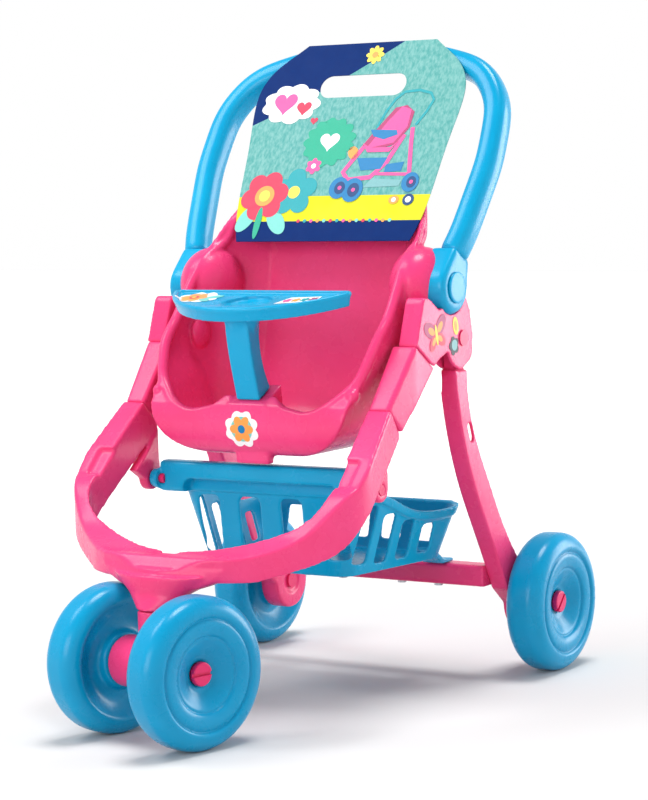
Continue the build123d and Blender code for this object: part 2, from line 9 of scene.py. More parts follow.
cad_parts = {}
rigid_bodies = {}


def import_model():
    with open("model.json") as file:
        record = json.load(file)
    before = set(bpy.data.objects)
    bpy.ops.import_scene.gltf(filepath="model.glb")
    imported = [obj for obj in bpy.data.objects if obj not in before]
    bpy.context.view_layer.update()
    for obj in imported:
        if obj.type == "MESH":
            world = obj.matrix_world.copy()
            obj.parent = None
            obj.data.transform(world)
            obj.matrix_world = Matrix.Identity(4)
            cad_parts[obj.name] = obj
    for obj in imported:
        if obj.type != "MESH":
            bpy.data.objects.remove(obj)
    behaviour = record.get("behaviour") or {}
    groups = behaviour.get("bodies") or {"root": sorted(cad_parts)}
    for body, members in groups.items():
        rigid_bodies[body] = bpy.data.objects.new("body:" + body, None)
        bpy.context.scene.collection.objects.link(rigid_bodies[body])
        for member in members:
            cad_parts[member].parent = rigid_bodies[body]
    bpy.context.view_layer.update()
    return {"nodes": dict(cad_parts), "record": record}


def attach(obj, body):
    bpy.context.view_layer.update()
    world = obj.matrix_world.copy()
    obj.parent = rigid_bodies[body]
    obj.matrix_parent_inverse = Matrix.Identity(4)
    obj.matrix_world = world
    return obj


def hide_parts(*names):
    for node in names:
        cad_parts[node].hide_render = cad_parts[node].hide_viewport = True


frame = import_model()
nodes = frame["nodes"]

SIDES = {"left": -1, "right": 1}
MM = 0.001
FRONT_AXLE_Y = -0.16733         # in metres


def at(x, station, z):
    """A point in metres from X, the distance behind the front axle and the height in millimetres."""
    return Vector((x * MM, station * MM + FRONT_AXLE_Y, z * MM))


def full_turn(steps):
    """Even angles round a circle, in radians."""
    return [2 * pi * k / steps for k in range(steps)]


# ---------------------------------------------------------------- materials
def srgb(r, g, b):
    """Linear colour of an 8-bit sRGB triple."""
    def linear(v):
        v /= 255
        return v / 12.92 if v <= 0.04045 else ((v + 0.055) / 1.055) ** 2.4
    return linear(r), linear(g), linear(b), 1.0


class Graph:
    """A node material under construction."""

    def __init__(self, name):
        self.material = bpy.data.materials.new(name)
        self.material.use_nodes = True
        self.tree = self.material.node_tree
        self.tree.nodes.clear()
        self.shader = self.add("ShaderNodeBsdfPrincipled")
        output = self.add("ShaderNodeOutputMaterial")
        self.link(self.shader.outputs["BSDF"], output.inputs["Surface"])

    def add(self, kind, **settings):
        node = self.tree.nodes.new(kind)
        for key, value in settings.items():
            if key in node.inputs.keys():
                node.inputs[key].default_value = value
            else:
                setattr(node, key, value)
        return node

    def link(self, output, socket):
        self.tree.links.new(output, socket)

    def coords(self):
        return self.add("ShaderNodeTexCoord").outputs["Object"]

    def noise(self, scale, detail=3.0, roughness=0.5):
        node = self.add("ShaderNodeTexNoise", Scale=scale, Detail=detail, Roughness=roughness)
        self.link(self.coords(), node.inputs["Vector"])
        return node.outputs["Fac"]

    def spread(self, value, low, high, source=(0.0, 1.0)):
        """Maps the source range, 0..1 unless given, to low..high."""
        node = self.add("ShaderNodeMapRange")
        limits = {"From Min": source[0], "From Max": source[1], "To Min": low, "To Max": high}
        for key, number in limits.items():
            node.inputs[key].default_value = number
        self.link(value, node.inputs["Value"])
        return node.outputs["Result"]

    def mix(self, factor, a, b):
        node = self.add("ShaderNodeMix", data_type="RGBA")
        self.link(factor, node.inputs["Factor"])
        for value, socket in ((a, node.inputs["A"]), (b, node.inputs["B"])):
            if isinstance(value, tuple):
                socket.default_value = value
            else:
                self.link(value, socket)
        return node.outputs["Result"]

    def math(self, operation, a, b=0.0):
        node = self.add("ShaderNodeMath", operation=operation)
        for value, socket in zip((a, b), node.inputs):
            if isinstance(value, float):
                socket.default_value = value
            else:
                self.link(value, socket)
        return node.outputs["Value"]

    def along(self, origin, direction):
        """Distance of the object point from origin along direction, in millimetres."""
        offset = self.add("ShaderNodeVectorMath", operation="SUBTRACT")
        self.link(self.coords(), offset.inputs[0])
        offset.inputs[1].default_value = origin
        dot = self.add("ShaderNodeVectorMath", operation="DOT_PRODUCT")
        self.link(offset.outputs["Vector"], dot.inputs[0])
        dot.inputs[1].default_value = direction / MM
        return dot.outputs["Value"]

    def bump(self, height, strength, distance):
        node = self.add("ShaderNodeBump", Strength=strength, Distance=distance)
        self.link(height, node.inputs["Height"])
        self.link(node.outputs["Normal"], self.shader.inputs["Normal"])


def moulded_plastic(name, base, deep, gloss, coat=0.06):
    """Glossy injection-moulded plastic: flow marks, a darker drift, orange peel and an uneven polish."""
    g = Graph(name)
    drift = g.math("ADD", g.math("MULTIPLY", g.noise(7.0, 2.0), 0.7),
                   g.math("MULTIPLY", g.noise(38.0, 3.0), 0.3))
    g.link(g.mix(g.spread(drift, 0.0, 1.0, (0.3, 0.72)), base, deep), g.shader.inputs["Base Color"])
    g.link(g.spread(g.noise(70.0, 4.0), gloss - 0.04, gloss + 0.08), g.shader.inputs["Roughness"])
    g.shader.inputs["IOR"].default_value = 1.31
    g.shader.inputs["Coat Weight"].default_value = coat
    g.shader.inputs["Coat Roughness"].default_value = 0.1
    peel = g.math("ADD", g.noise(260.0, 2.0), g.math("MULTIPLY", g.noise(1400.0, 2.0), 0.25))
    g.bump(peel, strength=0.05, distance=0.5 * MM)
    return g.material


def steel(name):
    """Zinc-plated steel with a slightly uneven grain."""
    g = Graph(name)
    g.shader.inputs["Metallic"].default_value = 1.0
    g.link(g.mix(g.noise(300.0), srgb(170, 172, 178), srgb(200, 202, 206)), g.shader.inputs["Base Color"])
    g.link(g.spread(g.noise(500.0), 0.28, 0.42), g.shader.inputs["Roughness"])
    return g.material


def ink(name, colour):
    """Printed film: even colour with the faint mottle of offset print."""
    g = Graph(name)
    darker = tuple(c * 0.84 for c in colour[:3]) + (1.0,)
    g.link(g.mix(g.noise(900.0, 2.0), colour, darker), g.shader.inputs["Base Color"])
    g.link(g.spread(g.noise(150.0), 0.3, 0.4), g.shader.inputs["Roughness"])
    g.shader.inputs["IOR"].default_value = 1.3
    return g.material


ACROSS, UPWARDS = Vector((1, 0, 0)), Vector((0, 0, 1))
CARD_LEAN = radians(28.6)
CARD_STATION, CARD_FOOT = 230.5, 347.0      # the middle of the card's lower edge
CARD_ORIGIN = at(4, CARD_STATION, CARD_FOOT)
CARD_UP = Vector((0, sin(CARD_LEAN), cos(CARD_LEAN)))
CARD_FRONT = Vector((0, -cos(CARD_LEAN), sin(CARD_LEAN)))
CARD_SKIN = 0.8                             # the board's thickness, in front of its origin
CARD_HALF = 95.7
STRIP_TOP, BAND_TOP, CORNER_FOOT = 17.5, 39.5, 104.0


def printed_card():
    """Mottled teal print with a navy corner, a yellow band and a navy foot strip, on both faces."""
    g = Graph("printed_card")
    u, v = g.along(CARD_ORIGIN, ACROSS), g.along(CARD_ORIGIN, CARD_UP)
    stretched = g.add("ShaderNodeMapping", Scale=(1.0, 0.5, 0.5))
    g.link(g.coords(), stretched.inputs["Vector"])
    mottle = g.add("ShaderNodeTexNoise", Scale=420.0, Detail=3.0, Roughness=0.6)
    g.link(stretched.outputs["Vector"], mottle.inputs["Vector"])
    teal = g.mix(g.spread(mottle.outputs["Fac"], 0.0, 1.0, (0.35, 0.65)),
                 srgb(84, 156, 152), srgb(124, 178, 174))
    navy = g.mix(g.noise(200.0), srgb(0, 44, 108), srgb(0, 36, 98))
    yellow = g.mix(g.noise(40.0), srgb(206, 208, 20), srgb(214, 214, 60))
    # the navy corner is bounded by a curve that rises from the left edge
    from_left = g.math("ADD", u, CARD_HALF)
    corner = g.math("ADD", g.math("MULTIPLY", from_left, 0.45),
                    g.math("MULTIPLY", g.math("MULTIPLY", from_left, from_left), 0.00098))
    colour = g.mix(g.math("GREATER_THAN", v, g.math("ADD", corner, CORNER_FOOT)), teal, navy)
    colour = g.mix(g.math("LESS_THAN", v, BAND_TOP), colour, yellow)
    colour = g.mix(g.math("LESS_THAN", v, STRIP_TOP), colour, navy)
    g.link(colour, g.shader.inputs["Base Color"])
    g.link(g.spread(g.noise(90.0), 0.3, 0.42), g.shader.inputs["Roughness"])
    g.shader.inputs["IOR"].default_value = 1.12
    return g.material


materials = {
    "pink_plastic": moulded_plastic("pink_plastic", srgb(230, 68, 128), srgb(224, 52, 108), 0.25),
    "pin_plastic": moulded_plastic("pin_plastic", srgb(228, 50, 112), srgb(212, 34, 94), 0.28),
    "blue_plastic": moulded_plastic("blue_plastic", srgb(0, 160, 204), srgb(0, 145, 190), 0.24),
    "wheel_plastic": moulded_plastic("wheel_plastic", srgb(0, 150, 194), srgb(0, 134, 180), 0.26),
    "fastener_steel": steel("fastener_steel"),
    "printed_card": printed_card(),
}
slot_of = {}
for part in frame["record"]["subparts"]:
    slot_of[part["node"]] = part["material_slot"]
    mesh = nodes[part["node"]].data
    mesh.materials.clear()
    mesh.materials.append(materials[part["material_slot"]])
inks = {name: ink("ink_" + name, srgb(*rgb)) for name, rgb in {
    "white": (244, 246, 246), "pink": (240, 84, 156), "red": (214, 48, 84), "green": (16, 168, 136),
    "teal": (10, 158, 168), "aqua": (120, 206, 196), "yellow": (246, 222, 84), "orange": (246, 160, 78),
    "blue": (0, 122, 180), "navy": (0, 64, 120), "plum": (176, 58, 112), "grey": (120, 176, 180),
    "dark": (24, 30, 52)}.items()}


# ---------------------------------------------------------------- making pieces
def add_object(name, data):
    obj = bpy.data.objects.new(name, data)
    bpy.context.scene.collection.objects.link(obj)
    return obj


def add_piece(name, mesh, body, slot, material, *replaced):
    """A visible piece that rides on a body and stands for the replaced CAD nodes."""
    piece = add_object(name, mesh)
    mesh.materials.clear()
    mesh.materials.append(material)
    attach(piece, body)
    if replaced:
        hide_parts(*replaced)
    return piece


def mesh_from(bm, name):
    mesh = bpy.data.meshes.new(name)
    bm.to_mesh(mesh)
    bm.free()
    return mesh


def applied(mesh, *modifiers):
    """The mesh after a stack of (kind, settings) modifiers."""
    work = add_object("work", mesh)
    for kind, settings in modifiers:
        modifier = work.modifiers.new(kind.lower(), kind)
        for key, value in settings.items():
            setattr(modifier, key, value)
    graph = bpy.context.evaluated_depsgraph_get()
    result = bpy.data.meshes.new_from_object(work.evaluated_get(graph))
    bpy.data.objects.remove(work)
    result.shade_smooth()
    return result


def body_of(node):
    bodies = frame["record"]["behaviour"]["bodies"]
    return next(body for body, members in bodies.items() if node in members)


def soften(node, voxel=1.1, passes=5, keep=0.35, extras=()):
    """A moulded copy of a CAD node: rounded edges and blended joins, with any extra forms merged in.

    The voxel is in millimetres, and keep is the share of the faces that is kept."""
    bm = bmesh.new()
    for mesh in (nodes[node].data, *extras):
        bm.from_mesh(mesh)
    smooth = applied(mesh_from(bm, node + "_raw"), ("REMESH", {"mode": "VOXEL", "voxel_size": voxel * MM}),
                     ("SMOOTH", {"factor": 0.5, "iterations": passes}),
                     ("DECIMATE", {"ratio": keep}))
    slot = slot_of[node]
    return add_piece(node + "_moulding", smooth, body_of(node), slot, materials[slot], node)


def rounded(points, rounds=2, closed=False):
    """Corner-cut copy of a run of points."""
    for _ in range(rounds):
        cut = [] if closed else [points[0]]
        following = points[1:] + points[:1] if closed else points[1:]
        for a, b in zip(points, following):
            cut += [a.lerp(b, 0.25), a.lerp(b, 0.75)]
        if not closed:
            cut.append(points[-1])
        points = cut
    return points


def tube(points, radii, sides=12):
    """Closed tube mesh along a run of points."""
    bm = bmesh.new()
    rings = []
    normal = None
    for i, p in enumerate(points):
        ahead = (points[min(i + 1, len(points) - 1)] - points[max(i - 1, 0)]).normalized()
        if normal is None:
            normal = ahead.orthogonal().normalized()
        normal = (normal - ahead * normal.dot(ahead)).normalized()
        other = ahead.cross(normal)
        spokes = [normal * cos(t) + other * sin(t) for t in full_turn(sides)]
        rings.append([bm.verts.new(p + spoke * radii[i]) for spoke in spokes])
    for a, b in zip(rings, rings[1:]):
        for k in range(sides):
            bm.faces.new((a[k], a[(k + 1) % sides], b[(k + 1) % sides], b[k]))
    bm.faces.new(reversed(rings[0]))
    bm.faces.new(rings[-1])
    bmesh.ops.recalc_face_normals(bm, faces=bm.faces)
    return mesh_from(bm, "tube")


def lathe(profile, centre, outward, sides=120):
    """Closed ring mesh from a closed profile of (offset along the axle, radius) in millimetres."""
    side = UPWARDS.cross(outward)
    bm = bmesh.new()
    rings = []
    for t in full_turn(sides):
        spoke = side * cos(t) + UPWARDS * sin(t)
        rings.append([bm.verts.new(centre + outward * (a * MM) + spoke * (r * MM)) for a, r in profile])
    for a, b in zip(rings, rings[1:] + rings[:1]):
        for k in range(len(profile)):
            n = (k + 1) % len(profile)
            bm.faces.new((a[k], a[n], b[n], b[k]))
    bmesh.ops.recalc_face_normals(bm, faces=bm.faces)
    return mesh_from(bm, "lathe")


def form(rings):
    """Closed mesh through a stack of rings of points."""
    bm = bmesh.new()
    loops = [[bm.verts.new(p) for p in ring] for ring in rings]
    count = len(rings[0])
    for a, b in zip(loops, loops[1:]):
        for k in range(count):
            bm.faces.new((a[k], a[(k + 1) % count], b[(k + 1) % count], b[k]))
    bm.faces.new(reversed(loops[0]))
    bm.faces.new(loops[-1])
    bmesh.ops.recalc_face_normals(bm, faces=bm.faces)
    return mesh_from(bm, "form")


def pebble(centre, reach):
    """Ellipsoid mesh, used only as a swelling merged into a moulding."""
    bm = bmesh.new()
    bmesh.ops.create_uvsphere(bm, u_segments=48, v_segments=24, radius=1)
    stretch = Matrix.Diagonal((*[r * MM for r in reach], 1))
    bmesh.ops.transform(bm, matrix=Matrix.Translation(centre) @ stretch, verts=bm.verts)
    return mesh_from(bm, "pebble")


def surface(obj):
    """A tree of the object's faces, for casting rays at them."""
    return BVHTree.FromObject(obj, bpy.context.evaluated_depsgraph_get())


# ---------------------------------------------------------------- wheels
WHEEL_RADIUS, WHEELBASE = 55.0, 344.5
FRONT_HALF_TRACK, REAR_HALF_TRACK = 44.7, 139.9
CASTER_YAW = radians(-13.3)


def arc(x, r, radius_x, radius_r, start, end, steps):
    """Points of an elliptic arc about (x, r), in degrees."""
    turns = [radians(start + (end - start) * k / steps) for k in range(steps + 1)]
    return [(x + radius_x * cos(t), r + radius_r * sin(t)) for t in turns]


def wheel_profile():
    """Section of the blow-moulded wheel, from the inner hub face round the tread to the outer recess."""
    inner = [(-15, 6.3), (-15, 19.2), (-14.4, 20), (-9.6, 21.4), (-8.4, 22.8), (-7.2, 29), (-8.2, 32),
             (-12.4, 38.6), (-14.6, 41)]
    tread = arc(-4.5, 43, 11.5, 12, 180, 90, 12) + arc(4.5, 42.5, 11.5, 12.5, 90, 6, 12)
    groove = [(15.9, 42.2), (15.2, 41.2), (14.4, 40.5), (14.0, 40.0), (14.1, 39.4), (14.9, 38.6),
              (15.4, 37.2)]
    web = [(15.5, 35), (15.1, 31.5), (14.3, 29), (13.6, 28), (12.4, 27.4), (12.2, 26.7), (12.6, 25.6),
           (11.6, 23.6), (6.8, 15.4), (5.7, 13.4), (5.2, 12.2), (5.1, 6.3)]
    return inner + tread + groove + web


def build_wheels():
    """The twin front wheels on the turned caster axle, and the two rear wheels."""
    caster_axle = Vector((cos(CASTER_YAW), sin(CASTER_YAW), 0))
    rows = {"front": (at(0, 0, WHEEL_RADIUS), caster_axle, FRONT_HALF_TRACK),
            "rear": (at(0, WHEELBASE, WHEEL_RADIUS), ACROSS, REAR_HALF_TRACK)}
    slot = "wheel_plastic"
    for side_name, side in SIDES.items():
        for row, (middle, axle, half_track) in rows.items():
            node = f"{row}_wheel_{side_name}"
            turned = lathe(wheel_profile(), middle + axle * side * half_track * MM, axle * side)
            mesh = applied(turned, ("SUBSURF", {"levels": 1, "render_levels": 1}))
            add_piece(node + "_moulding", mesh, body_of(node), slot, materials[slot], node)


# ---------------------------------------------------------------- seat with its rolled rim
# the lip as X and height, the side as station and height, the top as X, station and height
LIP_CREST = [(31, 229), (41, 225), (52, 223.5), (62, 226), (72, 232), (80, 239)]
SIDE_RIM = [(142, 247), (148, 260), (155, 273), (164, 283), (173, 291), (182, 303), (193, 318), (203, 330),
            (210, 337), (224.5, 348), (239.5, 363), (253, 377), (262, 391), (269, 404)]
TOP_RIM = [(72, 276, 417), (60, 280, 429), (45, 285.5, 441), (30, 287, 445), (15, 288, 447),
           (0, 288.5, 448)]
BEAD_RADIUS = 4.4
BEAD_SINK = 0.6             # how far the bead reaches into the wall
CARD_GAP = 1.2              # between the bead and the card
# below the lip's crest: where the wall is probed, and the middle of the bead
LIP_PROBE_DROP, LIP_BEAD_DROP = 2, 2.6
# below the side's edge, and behind it: where the wall is probed, and the middle of the bead
SIDE_DROP, SIDE_PROBE_BACK, SIDE_BEAD_BACK = 1.2, 2.2, 1.6
# swellings of the side wall, as centre and reach
SEAT_SWELLINGS = (((97, 226, 314), (23, 31, 29)),           # over the handle pivot
                  ((91.5, 200, 277), (4.5, 12, 12)),        # over the seat screw
                  ((88, 137, 237), (5, 5.5, 5)))            # at the corner of the lip


def card_station(z):
    """Where the back of the card is at a height."""
    return CARD_STATION + tan(CARD_LEAN) * (z - CARD_FOOT)


def half_rim(seat):
    """Middle of the rim bead from the pommel over one side to the middle of the top, right side."""
    points = []
    for x, z in LIP_CREST:
        hit = seat.ray_cast(at(x, -100, z - LIP_PROBE_DROP), Vector((0, 1, 0)))[0]
        station = (hit.y - FRONT_AXLE_Y) / MM
        points.append(at(x, station + BEAD_RADIUS - BEAD_SINK, z - LIP_BEAD_DROP))
    for station, z in SIDE_RIM:
        hit = seat.ray_cast(at(200, station + SIDE_PROBE_BACK, z - SIDE_DROP), Vector((-1, 0, 0)))[0]
        points.append(at(hit.x / MM - BEAD_RADIUS + BEAD_SINK, station + SIDE_BEAD_BACK, z - SIDE_DROP))
    for x, station, z in TOP_RIM:
        points.append(at(x, station + 1, z - BEAD_RADIUS))
    # beside the card, the bead stays behind it
    clear = (BEAD_RADIUS + CARD_GAP) / cos(CARD_LEAN)
    for p in points:
        z = p.z / MM
        if z > CARD_FOOT - 2:
            p.y = max(p.y, (card_station(z) + clear) * MM + FRONT_AXLE_Y)
    return points


def build_seat():
    """The bucket with a rolled rim that thins out towards the middle of the lip."""
    half = half_rim(surface(nodes["seat_bucket"]))
    mirrored = [Vector((-p.x, p.y, p.z)) for p in reversed(half)]
    run = rounded(half + mirrored[1:], 3)
    ends = len(run) - 1
    radii = [BEAD_RADIUS * MM * min(1, 0.55 + 0.45 * min(i, ends - i) / 12) for i in range(len(run))]
    swellings = [pebble(at(side * x, station, z), reach)
                 for side in SIDES.values() for (x, station, z), reach in SEAT_SWELLINGS]
    soften("seat_bucket", voxel=1.2, passes=6, keep=0.4, extras=[tube(run, radii), *swellings])


# ---------------------------------------------------------------- bow, tray and handle forms
# height, station of the middle, half width, half depth
FUNNEL = [(94.6, 4, 13, 13), (100, 8, 18, 12.5), (106, 12.5, 25.5, 15.5), (109, 14.5, 31, 18),
          (111.8, 17.5, 40, 21), (116, 20, 50, 23), (124, 22, 58, 20)]
PROW_TOP, PROW_SWEEP, PROW_RAKE = 124, 0.288, 0.08      # height, slopes of its face sideways and downwards
PROW_PROUD = 0.6            # how far the flare may stand in front of that face


def build_bow():
    """The bow with a flared underside that runs into the caster neck and keeps to the two prow faces."""
    rings = []
    for z, middle, half_x, half_y in FUNNEL:
        ring = []
        for t in full_turn(48):
            x = half_x * cos(t)
            face = abs(x) * PROW_SWEEP - PROW_PROUD - (PROW_TOP - z) * PROW_RAKE
            ring.append(at(x, max(middle + half_y * sin(t), face), z))
        rings.append(ring)
    soften("front_bow", voxel=1.0, passes=18, keep=0.4, extras=[form(rings)])


TRAY_TILT = radians(11)
TRAY_ORIGIN = at(0, 156, 314)
TRAY_BACK = Vector((0, cos(TRAY_TILT), sin(TRAY_TILT)))
TRAY_FACE = Vector((0, -sin(TRAY_TILT), cos(TRAY_TILT)))
TRAY_BOW, TRAY_BOW_CENTRE = 86.0, 30.2      # radius of the front edge, and its centre on the tray
# height, station of the middle, half width, half depth of the stem's top
STEM_TOP = [(268, 126, 9.5, 6), (284, 124.5, 11, 8), (293, 124, 15, 10.5), (299, 124.5, 24, 14),
            (304, 126, 36, 18)]


def build_tray():
    """The tray with a rolled front edge, its underside swelling into the stem."""
    rings = []
    for z, station, half_x, half_y in STEM_TOP:
        rings.append([at(half_x * cos(t), station + half_y * sin(t), z) for t in full_turn(40)])
    turns = [radians(angle) for angle in range(64, -65, -4)]
    front = [(TRAY_BOW * sin(t), TRAY_BOW_CENTRE - TRAY_BOW * cos(t)) for t in turns]
    edge = [(74, -2), (78, -4)] + front + [(-78, -4), (-74, -2)]
    points = [TRAY_ORIGIN + (ACROSS * u + TRAY_BACK * v - TRAY_FACE * 1.8) * MM for u, v in edge]
    bead = tube(rounded(points, 1), [2.3 * MM] * (2 * len(points)))
    soften("tray", voxel=0.9, passes=9, extras=[form(rings), bead])


# distance from the middle plane and radius
FOOT_BOSS = ((109.5, 18.5), (110.5, 19.5), (121.8, 19.5), (122.8, 18.7))
NECK_FOOT, NECK_BLEND = 232, 10         # height at which the leg starts to narrow, and over how much
LEG_INNER, NECK_INSET = 109.5, 1.3


def build_leg(side_name, side):
    """A rear leg with the round boss of its foot about the axle."""
    rings = []
    for x, radius in FOOT_BOSS:
        rings.append([at(side * x, WHEELBASE + radius * cos(t), WHEEL_RADIUS + radius * sin(t))
                      for t in full_turn(48)])
    leg = soften(f"rear_leg_{side_name}", passes=6, extras=[form(rings)])
    # the neck stays clear of the bracket's inner wall when the legs fold
    for vert in leg.data.vertices:
        rise = min(max((vert.co.z / MM - NECK_FOOT) / NECK_BLEND, 0), 1)
        clear = (LEG_INNER + NECK_INSET * rise) * MM
        if rise > 0 and side * vert.co.x < clear:
            vert.co.x = side * clear


def build_hub(side_name, side):
    """A handle hub, rounded like a knuckle."""
    swell = pebble(at(side * 116, 224, 309), (11.5, 19, 20))
    soften(f"handle_hub_{side_name}", voxel=1.2, passes=34, extras=[swell])


HANDLE_LEAN = radians(28.9)
HANDLE_ORIGIN = at(0, 223.5, 312)
HANDLE_UP = Vector((0, sin(HANDLE_LEAN), cos(HANDLE_LEAN)))
HANDLE_FRONT = Vector((0, -cos(HANDLE_LEAN), sin(HANDLE_LEAN)))
# the right half of the U, as distance across and up the lean
TUBE_LINE = [(118.3, 27.6), (122.5, 42), (130.3, 106), (127.5, 155), (107, 187), (57, 201.5)]
TUBE_HALF_WIDTH, TUBE_HALF_DEPTH, TUBE_CHAMFER = 9.5, 11.0, 4.6
TUBE_BEND, TUBE_STEP = 46, 4        # radius of its corners, and the distance between its sections
END_SHRINK = 0.94                   # the end sections against the others


def bent_line(corners, radius, step):
    """Even points along a run of corners, each rounded with the radius."""
    points = [corners[0]]
    for a, b, c in zip(corners, corners[1:], corners[2:]):
        into, out = (b - a).normalized(), (c - b).normalized()
        half = into.angle(out) / 2
        cut = min(radius * sin(half) / cos(half), (b - a).length * 0.48, (c - b).length * 0.48)
        start, end = b - into * cut, b + out * cut
        for k in range(9):
            s = k / 8
            points.append((start * (1 - s) + b * s).lerp(b * (1 - s) + end * s, s))
    points.append(corners[-1])
    even, spare = [points[0]], 0.0
    for a, b in zip(points, points[1:]):
        length = (b - a).length
        while spare + length >= step:
            a = a.lerp(b, (step - spare) / length)
            length = (b - a).length
            even.append(a)
            spare = 0.0
        spare += length
    even.append(points[-1])
    for _ in range(10):
        even[1:-1] = [(a + b * 2 + c) / 4 for a, b, c in zip(even, even[1:], even[2:])]
    return even


def build_handle():
    """The push handle: a fat octagonal section with soft edges, swept along the U."""
    corners = [Vector((x, y)) for x, y in TUBE_LINE]
    corners += [Vector((-c.x, c.y)) for c in reversed(corners)]
    line = bent_line(corners, TUBE_BEND, TUBE_STEP)
    w, d, cut = TUBE_HALF_WIDTH, TUBE_HALF_DEPTH, TUBE_CHAMFER
    octagon = [(w - cut, -d), (w, cut - d), (w, d - cut), (w - cut, d),
               (cut - w, d), (-w, d - cut), (-w, cut - d), (cut - w, -d)]
    section = rounded([Vector(p) for p in octagon], 3, closed=True)
    rings = []
    for i, p in enumerate(line):
        ahead = (line[min(i + 1, len(line) - 1)] - line[max(i - 1, 0)]).normalized()
        out = Vector((ahead.y, -ahead.x))
        shrink = END_SHRINK if i in (0, len(line) - 1) else 1.0
        ring = []
        for s in section:
            edge = p + out * s.x * shrink
            offset = ACROSS * edge.x + HANDLE_UP * edge.y + HANDLE_FRONT * s.y * shrink
            ring.append(HANDLE_ORIGIN + offset * MM)
        rings.append(ring)
    mesh = form(rings)
    mesh.shade_smooth()
    slot = "blue_plastic"
    add_piece("handle_tube_moulding", mesh, "handle", slot, materials[slot], "handle_tube")


# ---------------------------------------------------------------- printed and stuck-on artwork
# Outlines are lists of (u, v) in millimetres, and angles are in degrees unless said otherwise.
def disc(u, v, ru, rv=None, turn=0.0, steps=28):
    """An ellipse with its first axis turned."""
    rv = rv or ru
    turn = radians(turn)
    return [(u + ru * cos(t) * cos(turn) - rv * sin(t) * sin(turn),
             v + ru * cos(t) * sin(turn) + rv * sin(t) * cos(turn)) for t in full_turn(steps)]


def scallop(u, v, ru, rv, lobes, depth=0.09, turn=0.0):
    """A round shape with a lobed edge, turned in radians."""
    points = []
    for t in full_turn(lobes * 10):
        reach = 1 - depth + depth * abs(sin(lobes * t / 2)) * 2
        points.append((u + ru * reach * cos(t + turn), v + rv * reach * sin(t + turn)))
    return points


def leaf(u, v, distance, angle, length, width):
    """An ellipse that points away from (u, v), at a distance from it."""
    away = radians(angle)
    return disc(u + distance * cos(away), v + distance * sin(away), length, width, angle)


def petals(u, v, reach, width, count, turn=0.0):
    angles = [turn + 360 * k / count for k in range(count)]
    return [leaf(u, v, reach * 0.6, angle, reach * 0.45, width) for angle in angles]


def heart(u, v, size):
    scale = size / 16
    return [(u + scale * 16 * sin(t) ** 3,
             v + scale * (13 * cos(t) - 5 * cos(2 * t) - 2 * cos(3 * t) - cos(4 * t)))
            for t in full_turn(36)]


def stroke(points, width):
    """Outline of a line of even width through the points."""
    left, right = [], []
    for i, (u, v) in enumerate(points):
        a, b = points[max(i - 1, 0)], points[min(i + 1, len(points) - 1)]
        du, dv = b[0] - a[0], b[1] - a[1]
        length = sqrt(du * du + dv * dv)
        nu, nv = -dv / length * width / 2, du / length * width / 2
        left.append((u + nu, v + nv))
        right.append((u - nu, v - nv))
    return left + right[::-1]


FILM, LEVEL_STEP = 0.12, 0.09       # thickness of a printed shape, and the rise from one level to the next
NEIGHBOUR_STEP = 0.11               # the rise between neighbours of one level, as a share of a level
FINEST_EDGE = 3                     # longer edges are split before a shape is laid on a curved surface
# in metres: where a probe starts in front of the skin, how far a miss counts as, and how uneven a skin may be
PROBE_START, PROBE_MISS, MOST_RELIEF = 0.02, 0.4, 0.004


def laid_on(skin, points, facing):
    """The points moved along facing onto the skin, or to its usual depth where they miss it."""
    depths = []
    for p in points:
        hit = skin.ray_cast(p + facing * PROBE_START, -facing)[0] or p - facing * PROBE_MISS
        depths.append((hit - p).dot(facing))
    middle = sorted(depths)[len(depths) // 2]
    depths = [d if abs(d - middle) < MOST_RELIEF else middle for d in depths]
    return [p + facing * d for p, d in zip(points, depths)]


def artwork(prefix, origin, across, up, shapes, body, onto=None):
    """Thin printed shapes, one piece per colour. Shapes are (colour, level, outline)."""
    facing = across.cross(up)
    for colour in dict.fromkeys(shape[0] for shape in shapes):
        bm = bmesh.new()
        for index, (shape_colour, level, outline) in enumerate(shapes):
            if shape_colour == colour:
                # neighbours of one level lie a hair apart, so that overlaps stay clean
                height = level + index % 7 * NEIGHBOUR_STEP
                bm.faces.new([bm.verts.new((u, v, height)) for u, v in outline])
        bmesh.ops.triangulate(bm, faces=bm.faces)
        if onto:
            for _ in range(3):
                long_edges = [e for e in bm.edges if e.calc_length() > FINEST_EDGE]
                bmesh.ops.subdivide_edges(bm, edges=long_edges, cuts=1)
                bmesh.ops.triangulate(bm, faces=bm.faces)
        flat = [origin + across * (v.co.x * MM) + up * (v.co.y * MM) for v in bm.verts]
        if onto:
            flat = laid_on(onto, flat, facing)
        for vert, p in zip(bm.verts, flat):
            vert.co = p + facing * ((FILM + LEVEL_STEP * vert.co.z) * MM)
        thicken = ("SOLIDIFY", {"thickness": FILM * MM, "offset": 0.0})
        mesh = applied(mesh_from(bm, prefix + colour), thicken)
        mesh.shade_flat()
        add_piece(prefix + colour, mesh, body, "printed_card", inks[colour])


